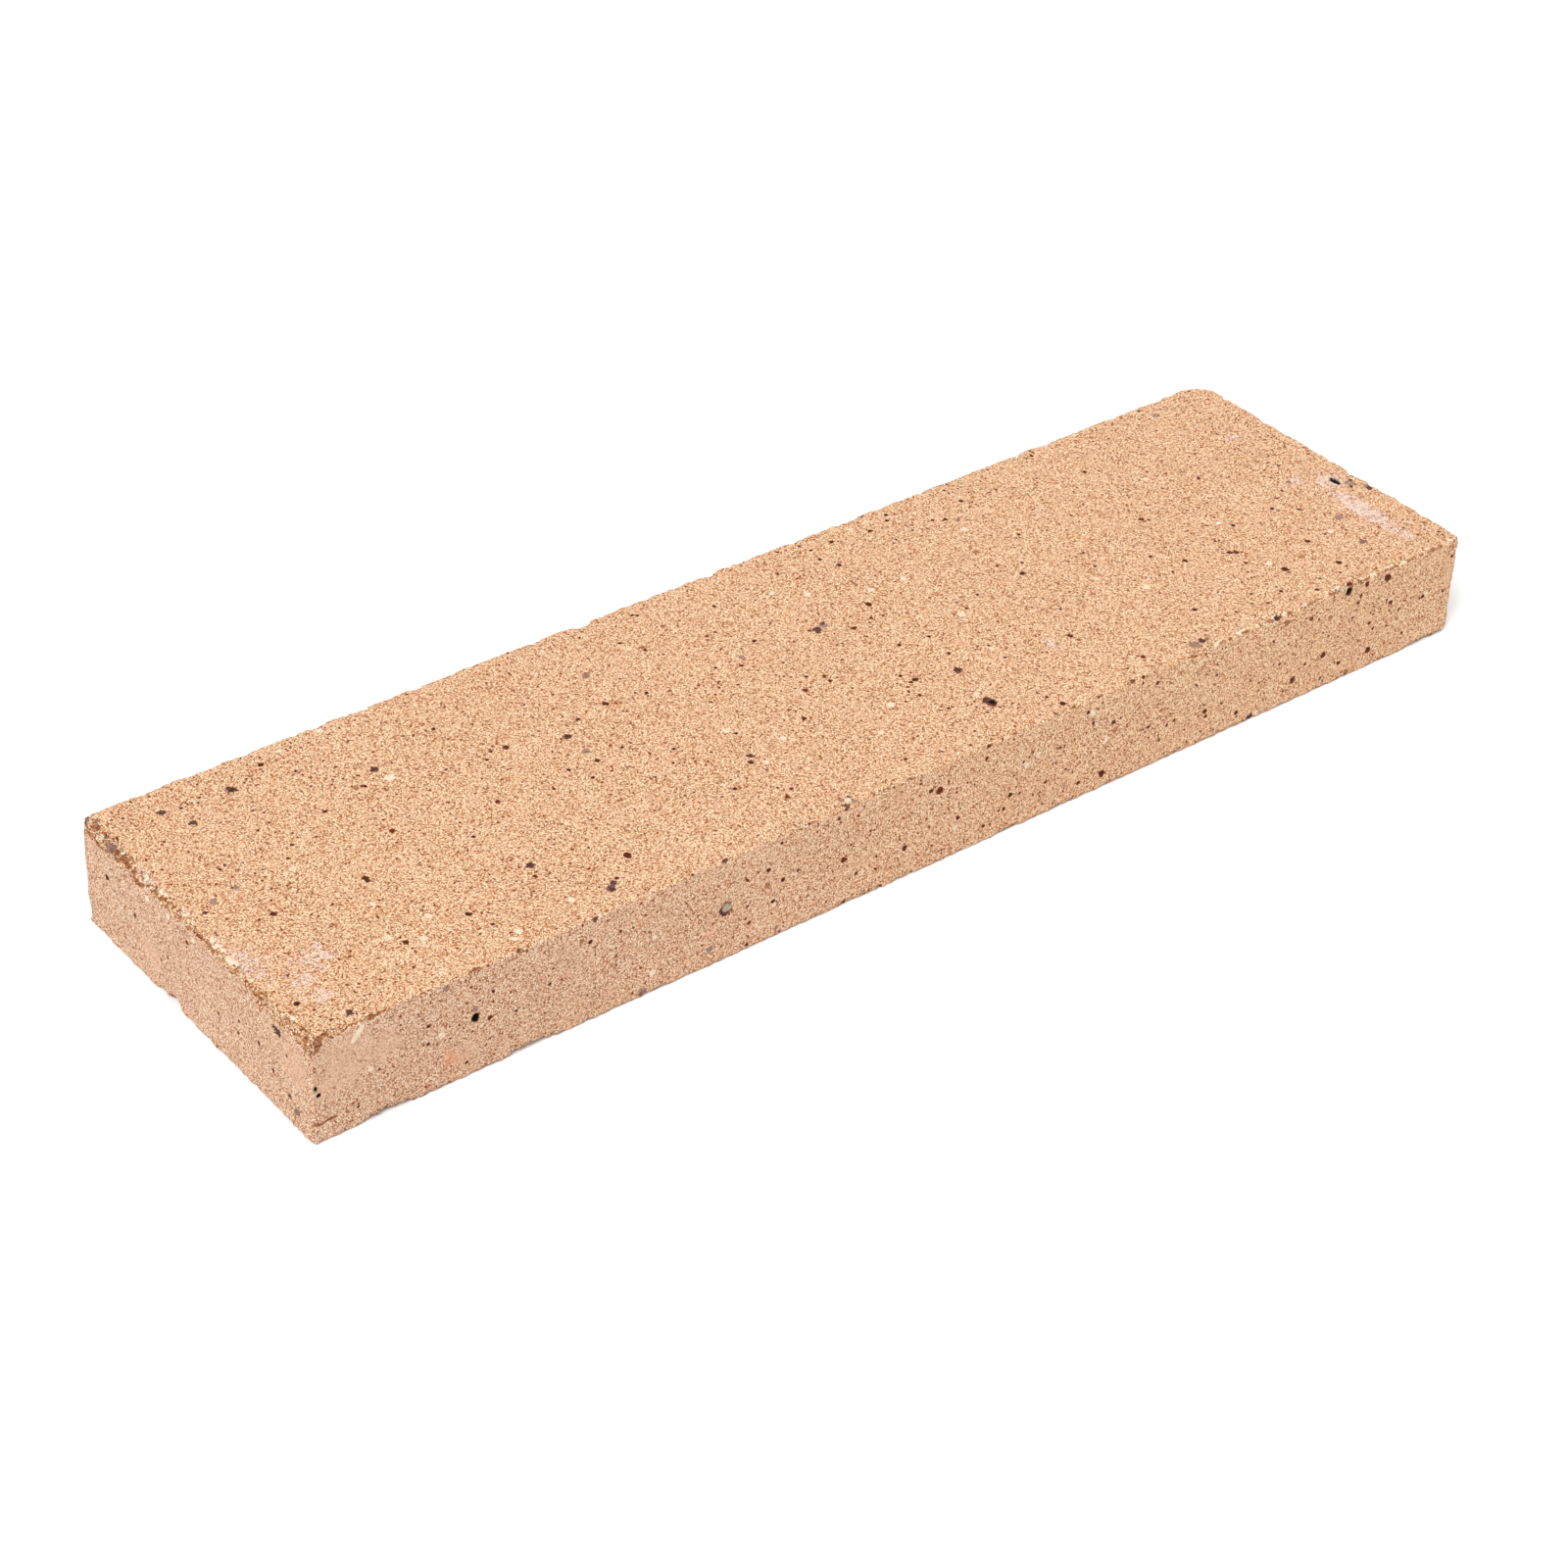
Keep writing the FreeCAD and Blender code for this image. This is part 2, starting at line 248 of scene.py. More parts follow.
# Voids that the firing left open: across the mouth, the depth and which way it leans
voids = {
    "top": [
        {"at": (110.5, -6.5), "across": (1.3, 2.3), "deep": 1.3, "lean": (0.2, -0.3)},
        {"at": (17.2, -23.5), "across": (1.3, 0.9), "deep": 0.6, "lean": (0, 0)},
    ],
    "front": [
        {"at": (-87.1, 10.2), "across": (1.5, 1.5), "deep": 1.3, "lean": (0.1, -0.3)},
        {"at": (-114.0, 10.1), "across": (0.5, 0.9), "deep": 0.7, "lean": (0, 0)},
        {"at": (-113.6, 8.8), "across": (0.8, 0.8), "deep": 0.7, "lean": (0, 0)},
        {"at": (88.4, 17.9), "across": (1.4, 1.7), "deep": 1.0, "lean": (0, 0)},
    ],
    "end": [
        {"at": (-22.8, 15.3), "across": (1.2, 0.9), "deep": 0.9, "lean": (0, 0)},
        {"at": (-26.4, 4.9), "across": (1.0, 0.9), "deep": 1.0, "lean": (0, 0)},
    ],
}

# Lines: hairline cracks that go in, stained with rust and painted shade, and splinters of pale grog that
# stand out
lines = [
    {
        "kind": "rustAndShade", "face": "front", "wide": 0.22, "deep": 0.3,
        "run": [(-115, 3.7), (-113.2, 3.3), (-112, 3.6), (-110.8, 3.5)],
    },
    {"kind": "grog", "face": "front", "wide": 0.4, "deep": -0.05, "run": [(-107.6, 15.9), (-106.1, 17.8)]},
]

# Pale pinkish bloom: where, how far it spreads each way and how thickly it lies
blooms = {
    "top": [
        (107.8, -15.5, 2.5, 8, 1.5), (107.6, -24, 2, 5.5, 1.15), (106, 14, 2.4, 2.2, 1.1),
        (-104, -16, 4, 4, 1), (-112, -12, 2.5, 6, 1), (-107.5, -24.5, 2, 2.5, 1), (36, -17, 1.2, 3, 1),
        (109.5, -6, 3, 3.5, 1.3), (-114, 13, 1, 6, 1), (104, -3, 3, 2.5, 1), (-108, -19.5, 3, 2.5, 1),
    ],
}
bloomFade = 1.4              # where a bloom ends, in its own spreads

# The faces that the camera doesn't see get marks and voids of the same kinds, thrown at random
hidden = {
    "faces": {
        "bed": (low.x, high.x, low.y, high.y),
        "back": (low.x, high.x, low.z, high.z),
        "farEnd": (low.y, high.y, low.z, high.z),
    },
    "marks": {"slag": 1.8, "grey": 1.0, "rustAndShade": 1.0, "fleck": 7.0, "grog": 2.6},      # per 1000 square mm
    "sizes": {
        "slag": (1.0, 1.9), "grey": (0.9, 1.8), "rustAndShade": (0.7, 1.2), "fleck": (0.4, 1.1), "grog": (0.8, 1.5),
    },
    "voids": 0.35,           # per 1000 square mm
    "voidAcross": ((0.8, 1.6), (0.8, 1.4)),
    "voidDeep": (0.6, 1.1),
    "margin": 3,             # mm that the voids keep from the arrises
}

# The two directions across a face, and the way in
faceAxes = {
    "top": (Vector((1, 0, 0)), Vector((0, 1, 0)), Vector((0, 0, -1))),
    "bed": (Vector((1, 0, 0)), Vector((0, 1, 0)), Vector((0, 0, 1))),
    "front": (Vector((1, 0, 0)), Vector((0, 0, 1)), Vector((0, 1, 0))),
    "back": (Vector((1, 0, 0)), Vector((0, 0, 1)), Vector((0, -1, 0))),
    "end": (Vector((0, 1, 0)), Vector((0, 0, 1)), Vector((1, 0, 0))),
    "farEnd": (Vector((0, 1, 0)), Vector((0, 0, 1)), Vector((-1, 0, 0))),
}


def onFace(face, a, b):
    places = {
        "top": (a, b, high.z), "bed": (a, b, low.z), "front": (a, low.y, b),
        "back": (a, high.y, b), "end": (low.x, a, b), "farEnd": (high.x, a, b),
    }
    return Vector(places[face])


def faceOf(point):
    depths = {
        "top": high.z - point.z, "bed": point.z - low.z, "front": point.y - low.y,
        "back": high.y - point.y, "end": point.x - low.x, "farEnd": high.x - point.x,
    }
    return min(depths, key=depths.get)


def reachAcross(face, away, wideA, wideB):
    # How far out this is from the middle of a mark that is so wide each way: 1 is its rim
    acrossA, acrossB, _ = faceAxes[face]
    return math.hypot(away.dot(acrossA) / wideA, away.dot(acrossB) / wideB)


def clamp(value, least=0.0, most=1.0):
    return min(most, max(least, value))


# Random marks, all thrown with one dice in this order

dice = random.Random(slab["seed"])


def throwHiddenMarks():
    margin = hidden["margin"]
    for face, (a0, a1, b0, b1) in hidden["faces"].items():
        area = (a1 - a0) * (b1 - b0) / 1000
        for kind, density in hidden["marks"].items():
            size = hidden["sizes"][kind]
            marks[kind][face] = [
                (dice.uniform(a0, a1), dice.uniform(b0, b1), dice.uniform(*size))
                for _ in range(round(area * density))
            ]
        voids[face] = [
            {
                "at": (dice.uniform(a0 + margin, a1 - margin), dice.uniform(b0 + margin, b1 - margin)),
                "across": [dice.uniform(*across) for across in hidden["voidAcross"]],
                "deep": dice.uniform(*hidden["voidDeep"]), "lean": (0, 0),
            }
            for _ in range(max(1, round(area * hidden["voids"])))
        ]


def dropCrumbs():
    pale, rusty = marks["grog"]["top"], marks["rustAndShade"]["top"]
    for _ in range(crumble["crumbs"]):
        x = low.x + dice.uniform(*crumble["crumbsIn"])
        pale.append((x, dice.uniform(low.y, high.y), dice.uniform(*crumble["crumbSize"])))
    strewn = arrisCrumbs
    for _ in range(strewn["count"]):
        spot = Vector(strewn["from"]).lerp(Vector(strewn["to"]), dice.random())
        pale.append((spot.x, spot.y + dice.uniform(*strewn["stray"]), dice.uniform(*strewn["size"])))
        x = spot.x + dice.uniform(*strewn["rustyBeside"])
        rusty.append((x, spot.y - strewn["rustyOut"], dice.uniform(*strewn["rustySize"])))


def markLobes():
    # A mark is a cluster of lobes, so that its outline is uneven
    lobes = []
    for kind, faces in marks.items():
        for face, spots in faces.items():
            acrossA, acrossB, _ = faceAxes[face]
            for a, b, across in spots:
                middle = onFace(face, a, b)
                lobes.append((kind, face, middle, across * 0.4 + 0.14))
                for _ in range(3 if across > 0.7 else 1):
                    turn = dice.uniform(0, math.tau)
                    away = acrossA * math.cos(turn) + acrossB * math.sin(turn)
                    away = away * across * dice.uniform(0.25, 0.45)
                    lobes.append((kind, face, middle + away, across * dice.uniform(0.16, 0.3)))
    return lobes


def throwNibbles():
    for strip in nibbles["strips"]:
        for _ in range(strip["count"]):
            chips.append({
                "place": Vector(strip["from"]).lerp(Vector(strip["to"]), dice.random()), "out": strip["out"],
                "run": dice.uniform(*nibbles["run"]), "bite": dice.uniform(*nibbles["bite"]),
            })


throwHiddenMarks()
dropCrumbs()
lobes = markLobes()
throwNibbles()
print("marks placed,", len(lobes), "lobes")


# The block

def arrisReach(point):
    depths = sorted((min(point[n] - low[n], high[n] - point[n]) for n in range(3)))
    return depths[1]


def nearBreak(point, reach):
    return point.x < low.x + reach and point.z > high.z - reach


def alongRun(line):
    # Points every quarter millimetre along a crack or a splinter
    points = []
    for (a0, b0), (a1, b1) in zip(line["run"], line["run"][1:]):
        steps = max(1, round(math.hypot(a1 - a0, b1 - b0) / 0.25))
        for n in range(steps + 1):
            points.append(onFace(line["face"], a0 + (a1 - a0) * n / steps, b0 + (b1 - b0) * n / steps))
    return points


def pointTree(points):
    tree = kdtree.KDTree(len(points))
    for number, point in enumerate(points):
        tree.insert(point, number)
    tree.balance()
    return tree


# Where marks, voids and lines sit: the place, the radius and whether it is out of view
seats = [
    (place, radius, face in hidden["faces"])
    for kind, face, place, radius in lobes if kind not in softMarks
]
for face, holes in voids.items():
    seats += [(onFace(face, *hole["at"]), max(hole["across"]) / 2, False) for hole in holes]
for line in lines:
    seats += [(place, line["wide"], False) for place in alongRun(line)]
seatTree = pointTree([place for place, _, _ in seats])
widestSeat = max(radius for _, radius, _ in seats)


def nearSeat(point, margin, hiddenToo):
    found = seatTree.find_range(point, widestSeat + margin)
    return any(
        distance < seats[number][1] + margin and (hiddenToo or not seats[number][2])
        for _, number, distance in found
    )


def openToView(point):
    return faceOf(point) != "bed"


def worthHalving(point):
    near = slab["fine"]
    worn = arrisReach(point) < near["arris"] or nearBreak(point, near["break"])
    return worn or nearSeat(point, near["mark"], True)


def worthQuartering(point):
    # The arris round the bed stays coarser at the back and the far end
    near = slab["finest"]
    underneath = point.z < low.z + 1 and point.y > low.y + 1 and point.x > low.x + 1
    bareArris = arrisReach(point) < near["arris"] and not underneath
    return bareArris or nearBreak(point, near["break"]) or nearSeat(point, near["mark"], False)


def refine(bm, wanted):
    edges = {edge for face in bm.faces if wanted(face.calc_center_median()) for edge in face.edges}
    bmesh.ops.subdivide_edges(bm, edges=list(edges), cuts=1, use_grid_fill=True)


def cutBlock():
    bm = bmesh.new()
    bmesh.ops.create_cube(bm, size=1)
    bmesh.ops.scale(bm, vec=high - low, verts=bm.verts)
    bmesh.ops.translate(bm, vec=(low + high) / 2, verts=bm.verts)
    for axis in range(3):
        cuts = round((high[axis] - low[axis]) / slab["cell"])
        normal = Vector((axis == 0, axis == 1, axis == 2))
        for cut in range(1, cuts):
            place = normal * (low[axis] + (high[axis] - low[axis]) * cut / cuts)
            bmesh.ops.bisect_plane(
                bm, geom=bm.verts[:] + bm.edges[:] + bm.faces[:], dist=1e-5, plane_co=place, plane_no=normal
            )
    for wanted in (openToView, worthHalving, worthQuartering):
        refine(bm, wanted)
    bmesh.ops.triangulate(bm, faces=bm.faces)
    bm.verts.index_update()
    bm.verts.ensure_lookup_table()
    return bm


block = cutBlock()
print("block cut,", len(block.faces), "triangles")


# Wear

def wander(point, *sizes):
    # Noise about 0, summed over sizes in mm with their shares
    return sum(share * noise.noise(point / size) for size, share in sizes)


def crumbs(point, size):
    # Rounded lumps: 0 at the middle of a crumb and about 1 in the gaps between them
    return noise.voronoi(point / size)[0][0]


def cornerBy(point):
    # The nearest upright corner: its signs, its radius, and how far past the centre of its arc the point lies
    signX = 1 if point.x > 0 else -1
    signY = 1 if point.y > 0 else -1
    radius = slab["cornerRadii"][signX, signY]
    return signX, signY, radius, point.x * signX - (high.x - radius), point.y * signY - (high.y - radius)


def wallBy(point):
    # Depth inside the outline seen from above, the way out, and which wall it is
    signX, signY, radius, overX, overY = cornerBy(point)
    if overX > 0 and overY > 0:
        reach = math.hypot(overX, overY)
        return radius - reach, Vector((overX * signX / reach, overY * signY / reach, 0)), (0, 0)
    if overX - overY > 0:
        return radius - overX, Vector((signX, 0, 0)), (signX, 0)
    return radius - overY, Vector((0, signY, 0)), (0, signY)


def roundCorners(point):
    signX, signY, radius, overX, overY = cornerBy(point)
    if overX > 0 and overY > 0:
        shrink = max(overX, overY) / math.hypot(overX, overY)
        point.x = signX * (high.x - radius + overX * shrink)
        point.y = signY * (high.y - radius + overY * shrink)


def wanderWalls(point):
    depth, out, wall = wallBy(point)
    if depth > slab["wallDepth"]:
        return
    wide = slab["wallWander"].get(wall, slab["cornerWander"])
    drift = 0.5 + wander(point, *waves["wall"])
    point -= out * max(0.0, wide * drift) * (1 - depth / slab["wallDepth"])


def roundArrises(point):
    # Rounds the nearest arris and says how bare it is there
    depth, out, _ = wallBy(point)
    up = 1 if point.z > (low.z + high.z) / 2 else -1
    drop = high.z - point.z if up > 0 else point.z - low.z
    radius = slab["arrisRadius"] if up > 0 else slab["footRadius"]
    radius = max(slab["leastRadius"], radius + slab["arrisWander"] * wander(point, *waves["arris"]))
    if depth < radius and drop < radius:
        depth = max(depth, 0.0)
        inX, inZ = radius - depth, radius - drop
        shrink = radius / math.hypot(inX, inZ)
        point -= out * ((radius - inX * shrink) - depth)
        point.z -= up * ((radius - inZ * shrink) - drop)
    # Where the arris is rubbed back furthest, the raw body shows
    return clamp(1.2 - (depth + drop) / (radius + 0.15)) * clamp(2.5 * (radius - 0.34))


def crumbleAt(y):
    stations = crumble["stations"]
    along = (y - low.y) / (high.y - low.y) * (len(stations) - 1)
    number = min(max(int(along), 0), len(stations) - 2)
    share = along - number
    return [
        before * (1 - share) + after * share
        for before, after in zip(stations[number], stations[number + 1])
    ]


def crumbleArris(point):
    if not nearBreak(point, crumble["within"]):
        return 0.0
    over, down = crumbleAt(point.y)
    swell = wander(Vector((0, point.y, 0)), (crumble["swell"], 1))
    over *= max(crumble["least"], 1 + crumble["ragged"] * (swell + wander(point, *waves["over"])))
    down *= max(crumble["least"], 1 + crumble["ragged"] * (swell + wander(-point, *waves["down"])))
    inside = (point.x - low.x) / over + (high.z - point.z) / down
    if inside < 1:
        shift = (1 - inside) / (1 / over + 1 / down)
        point.x += shift
        point.z -= shift
    return clamp((1.2 - inside) / 0.2)


def chipBall(place, out, run, bite):
    # The ball that leaves a hollow of this run and bite
    radius = run ** 2 / (8 * bite) + bite / 2
    return Vector(place) + Vector(out).normalized() * (radius - bite), radius


balls = [chipBall(**chip) for chip in chips]


def knockChips(point):
    broken = 0.0
    rim = 0.25
    for middle, radius in balls:
        away = point - middle
        if away.length > radius + 1:
            continue
        rough = radius + wander(point, *waves["chip"])
        if away.length < rough + rim:
            broken = max(broken, min(1.0, (rough + rim - away.length) / rim))
        if away.length < rough:
            point += away.normalized() * (rough - away.length)
    return broken


places = [vert.co.copy() for vert in block.verts]
placeTree = pointTree(places)
fields = {name: [0.0] * len(places) for name in (*marks, "voidShade", "bloom", "broken", "side", "end")}


def stain(kind, number, share):
    fields[kind][number] = max(fields[kind][number], share)


def wearAway():
    for number, vert in enumerate(block.verts):
        face = faceOf(vert.co)
        if face in ("front", "back"):
            beyond = (vert.co.x - slab["pinkFrom"]) / slab["pinkOver"]
            fields["side"][number] = 1 / (1 + math.exp(beyond))
        fields["end"][number] = 1.0 if face in ("end", "farEnd") else 0.0
        roundCorners(vert.co)
        wanderWalls(vert.co)
        fields["broken"][number] = max(roundArrises(vert.co), crumbleArris(vert.co), knockChips(vert.co))


def paintLobes():
    for kind, _, middle, radius in lobes:
        for _, number, distance in placeTree.find_range(middle, radius * 2):
            stain(kind, number, 1 - distance / (radius * 2))


def layBlooms():
    for face, spots in blooms.items():
        for a, b, wideA, wideB, thick in spots:
            middle = onFace(face, a, b)
            for place, number, _ in placeTree.find_range(middle, max(wideA, wideB) * bloomFade):
                if faceOf(place) == face:
                    reach = reachAcross(face, place - middle, wideA, wideB)
                    stain("bloom", number, thick * clamp(bloomFade - reach))


def pressGrain():
    block.normal_update()
    for number, vert in enumerate(block.verts):
        place = places[number]
        broken = fields["broken"][number]
        depth = slab["grainRelief"] * (0.9 + wander(place, *waves["grain"]))
        depth *= 1 - 0.7 * min(1.0, fields["grog"][number] * 2)
        if fields["slag"][number] > 0.3:
            depth += slab["slagRelief"] * (0.6 + wander(place, *waves["slag"]))
        if broken > 0:
            gap = 1.2 * crumbs(place, 0.9) ** 2 + 0.5 * crumbs(place, 0.5) + wander(place, *waves["gap"])
            depth += broken * crumble["relief"] * (gap - 0.2)
            # Rust and painted shade fill the gaps between the crumbs, most where they sink deepest
            stain("rustAndShade", number, broken * min(0.9, 2.2 * (gap - 0.5)))
        vert.co -= vert.normal * max(0.0, depth)


def openVoids():
    for face, holes in voids.items():
        acrossA, acrossB, inward = faceAxes[face]
        for hole in holes:
            middle = onFace(face, *hole["at"])
            wideA, wideB = hole["across"]
            lean = acrossA * hole["lean"][0] + acrossB * hole["lean"][1]
            for place, number, _ in placeTree.find_range(middle, max(wideA, wideB)):
                reach = reachAcross(face, place - middle, wideA / 2, wideB / 2)
                reach *= 1 + wander(place, *waves["void"])
                # Marks where the painted shade inside the void lies
                stain("voidShade", number, clamp(1.9 - reach))
                if reach < 1:
                    block.verts[number].co += (inward + lean) * hole["deep"] * math.sqrt(1 - reach ** 2)


def drawLines():
    for line in lines:
        inward = faceAxes[line["face"]][2]
        widest = line["wide"] * 1.5
        nearest = {}
        for place in alongRun(line):
            for _, number, distance in placeTree.find_range(place, widest):
                nearest[number] = min(nearest.get(number, widest), distance)
        for number, distance in nearest.items():
            share = min(1.0, 1.6 * (1 - distance / widest))
            stain(line["kind"], number, share)
            block.verts[number].co += inward * line["deep"] * share


def keepInsideBox():
    # Nothing stands out of the CAD brick
    for vert in block.verts:
        vert.co = Vector(clamp(vert.co[n], low[n], high[n]) for n in range(3))


def firebrickBody():
    bmesh.ops.scale(block, vec=(mm, mm, mm), verts=block.verts)
    bmesh.ops.recalc_face_normals(block, faces=block.faces)
    mesh = bpy.data.meshes.new("firebrickBody")
    block.to_mesh(mesh)
    block.free()
    for name, values in fields.items():
        layer = mesh.attributes.new(name, "FLOAT", "POINT")
        layer.data.foreach_set("value", values)
    mesh.shade_smooth()
    body = bpy.data.objects.new("firebrickBody", mesh)
    bpy.context.collection.objects.link(body)
    return body


wearAway()
print("corners, arrises and chips worn")
paintLobes()
layBlooms()
pressGrain()
openVoids()
drawLines()
keepInsideBox()
print("grain, voids and cracks pressed in")
brickBody = firebrickBody()
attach(brickBody, "root")
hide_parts("firebrick")
print("brick body made,", len(brickBody.data.polygons), "triangles")


# Materials

def hexColour(text):
    # sRGB hex to linear
    channels = [int(text[n:n + 2], 16) / 255 for n in (1, 3, 5)]
    return (*(c / 12.92 if c <= 0.04045 else ((c + 0.055) / 1.055) ** 2.4 for c in channels), 1.0)


def addNode(tree, kind, inputs=None, **settings):
    # A node given as an input is linked by its first output that is in use.
    # Mix takes its factor at 0, numbers at 2 and 3, and colours at 6 and 7.
    node = tree.nodes.new("ShaderNode" + kind)
    for name, value in settings.items():
        setattr(node, name, value)
    for name, value in (inputs or {}).items():
        if isinstance(value, bpy.types.Node):
            value = next(output for output in value.outputs if output.enabled)
        if isinstance(value, bpy.types.NodeSocket):
            tree.links.new(value, node.inputs[name])
        else:
            node.inputs[name].default_value = value
    return node


fireclay = {
    "grains": {              # mm apart
        "sand": 0.26, "grit": 0.85, "pale": 0.5, "pores": 0.42, "rusty": 1.5, "specks": 0.75, "iron": 2.1,
    },
    "clouds": {"dust": 0.14, "ragged": 0.5, "streaks": 0.9, "patches": 11.0},             # mm across
    "shove": (0.4, 0.35),    # mm, what makes the grains angular: how wide and how far
    # Shade of the grain at a point: what it follows, how strongly, and that thing's mean
    "shades": [
        # The sand's Distance darkens the edges of the grains: partly their own tone, partly painted shade
        # between them
        ("sand", "Red", 0.46, 0.5), ("sand", "Distance", -1.3, 0.46),
        ("dust", "Fac", 3.2, 0.5), ("ragged", "Fac", 0.02, 0.5), ("patches", "Fac", 0.05, 0.5),
    ],
    # Colours of the grain on each surface, evenly spaced from the dark gaps to the palest grains
    "finishes": {
        "top": ["#884114", "#CA7F4A", "#EEB184", "#F9CA9F", "#FAD7AE", "#FBE1BC", "#FCECD0"],
        "side": ["#8F5634", "#BD8560", "#E0A785", "#EABA9A", "#F1C9AA", "#F4DAC0", "#F8EDD8"],
        "end": ["#80421A", "#BB7D52", "#DEA783", "#EDBF9F", "#F4CFAF", "#F7DDC2", "#F9EFDB"],
        "broken": ["#4E2008", "#985020", "#CC8446", "#E2AC74", "#F0CCA0", "#F7E4CA", "#FAF2E6"],
    },
    "brokenRim": (1.2, 0.35, 0.6),            # how ragged a break's rim is, where it starts and is full
    # Round spots cut through at random depths: least reach, how much it varies, softness, colour, cover,
    # and how far they stand out or in
    "spots": {
        # The pale spots are pale grains and partly painted glints of fine crystals
        "pale": (-0.4, 0.75, 0.02, "#FAE6C4", 0.95, 0.4),
        "pores": (-0.34, 0.7, 0.02, "#9C4806", 0.9, -0.8),
        "rusty": (-0.15, 0.33, 0.04, "#B05A2E", 0.3, -0.8),
        "specks": (-0.34, 0.68, 0.015, "#7A2E00", 1.0, -0.8),
        "iron": (-0.18, 0.36, 0.012, "#5A2000", 1.0, -0.8),
    },
    "calm": {"side": 0.02, "end": 0.09},      # how much the spots shrink on those faces
    # Marks that the mesh carries: softness, raggedness, darkest and palest grain, cover
    "marks": {
        "skin": (0.3, 0.8, "#E2B292", "#EEC4A6", 0.55),
        "blush": (0.3, 0.9, "#DC8A60", "#F8BE9C", 0.6),
        "grog": (0.06, 0.9, "#F6DCB6", "#FCF2DC", 0.8),
        # Rust marks; the same colour is also painted shade in the gaps of the break, in the crack and beside
        # the crumbs of the front arris
        "rustAndShade": (0.14, 0.7, "#743610", "#BE7A40", 0.8),
        "grey": (0.1, 0.7, "#6E4A42", "#AE8A7C", 0.85),
        "slag": (0.06, 0.8, "#3E1408", "#7C5248", 1.0),
        "fleck": (0.06, 0.6, "#401400", "#783606", 1.0),
        "stone": (0.1, 0.5, "#9A866C", "#CBB89E", 1.0),
    },
    "bloom": "#F6DED2",
    "bloomFollows": {"grit": ("Red", 0.9), "streaks": ("Fac", 1.2)},
    "bloomOnShade": 0.6,
    "bloomRim": (2.15, 2.45, 0.7),            # where it starts, where it is full, and its cover
    # Painted shade inside the voids: near black where the holes are only shaded clay
    "void": "#1E120C",
    "voidShadeRim": (0.65, 0.95),
    "bump": 0.05,            # mm
    "shine": 0.2,            # fired clay is dry and porous, and hardly reflects
}


def grainPatterns(tree):
    # Crushed grains are angular, so a fine noise pushes the pattern's coordinates about
    place = addNode(tree, "TexCoord").outputs["Object"]
    shoveSize, shoveFar = fireclay["shove"]
    shove = addNode(tree, "TexNoise", {"Vector": place, "Scale": 1 / (shoveSize * mm), "Detail": 1.0})
    shoved = addNode(
        tree, "VectorMath", {0: shove.outputs["Color"], 1: (0.5, 0.5, 0.5)}, operation="SUBTRACT"
    )
    crushed = addNode(
        tree, "VectorMath", {0: shoved, 1: (shoveFar * mm,) * 3, 2: place}, operation="MULTIPLY_ADD"
    )
    patterns = {}
    for name, size in fireclay["grains"].items():
        cells = addNode(tree, "TexVoronoi", {"Vector": crushed, "Scale": 1 / (size * mm)})
        tones = addNode(tree, "SeparateColor", {"Color": cells.outputs["Color"]})
        patterns[name] = {"Distance": cells.outputs["Distance"], "Red": tones.outputs["Red"]}
    for name, size in fireclay["clouds"].items():
        cloud = addNode(tree, "TexNoise", {"Vector": place, "Scale": 1 / (size * mm), "Detail": 2.0})
        patterns[name] = {"Fac": cloud.outputs["Fac"]}
    return patterns


def grainShade(tree, patterns):
    # 0 in the gaps between grains, which is partly painted shade, and 1 on the palest grains
    shade = 0.5 - sum(share * mean for _, _, share, mean in fireclay["shades"])
    for name, output, share, _ in fireclay["shades"]:
        followed = patterns[name][output]
        shade = addNode(tree, "Math", {0: followed, 1: share, 2: shade}, operation="MULTIPLY_ADD")
    return shade


def grainColour(tree, shade, ragged):
    # One ramp for each surface, laid over the top face's own
    colour = None
    for name, stops in fireclay["finishes"].items():
        ramp = addNode(tree, "ValToRGB", {"Fac": shade})
        for number, stop in enumerate(stops):
            if 0 < number < len(stops) - 1:
                ramp.color_ramp.elements.new(number / (len(stops) - 1))
            ramp.color_ramp.elements[number].color = hexColour(stop)
        if name == "top":
            colour = ramp
            continue
        worn = addNode(tree, "Attribute", attribute_name=name).outputs["Fac"]
        if name == "broken":
            uneven, start, full = fireclay["brokenRim"]
            worn = addNode(tree, "Math", {0: ragged, 1: uneven, 2: worn}, operation="MULTIPLY_ADD")
            worn = addNode(
                tree, "MapRange", {"Value": worn, "From Min": start, "From Max": full},
                interpolation_type="SMOOTHSTEP",
            )
        colour = addNode(tree, "Mix", {0: worn, 6: colour, 7: ramp}, data_type="RGBA")
    return colour


def cutSpots(tree, patterns, colour, height):
    # Pale grains, partly painted glints, burnt-out pores and iron specks
    calm = 0.0
    for name, share in fireclay["calm"].items():
        worn = addNode(tree, "Attribute", attribute_name=name).outputs["Fac"]
        calm = addNode(tree, "Math", {0: worn, 1: share, 2: calm}, operation="MULTIPLY_ADD")
    for name, (least, spread, soft, hue, cover, raised) in fireclay["spots"].items():
        cells = patterns[name]
        reach = addNode(tree, "Math", {0: cells["Red"], 1: spread, 2: least}, operation="MULTIPLY_ADD")
        reach = addNode(tree, "Math", {0: reach, 1: calm}, operation="SUBTRACT")
        inside = addNode(tree, "Math", {0: reach, 1: cells["Distance"]}, operation="SUBTRACT")
        mask = addNode(
            tree, "MapRange", {"Value": inside, "From Min": -soft, "From Max": soft, "To Max": cover},
            interpolation_type="SMOOTHSTEP",
        )
        colour = addNode(tree, "Mix", {0: mask, 6: colour, 7: hexColour(hue)}, data_type="RGBA")
        height = addNode(tree, "Math", {0: mask, 1: raised, 2: height}, operation="MULTIPLY_ADD")
    return colour, height


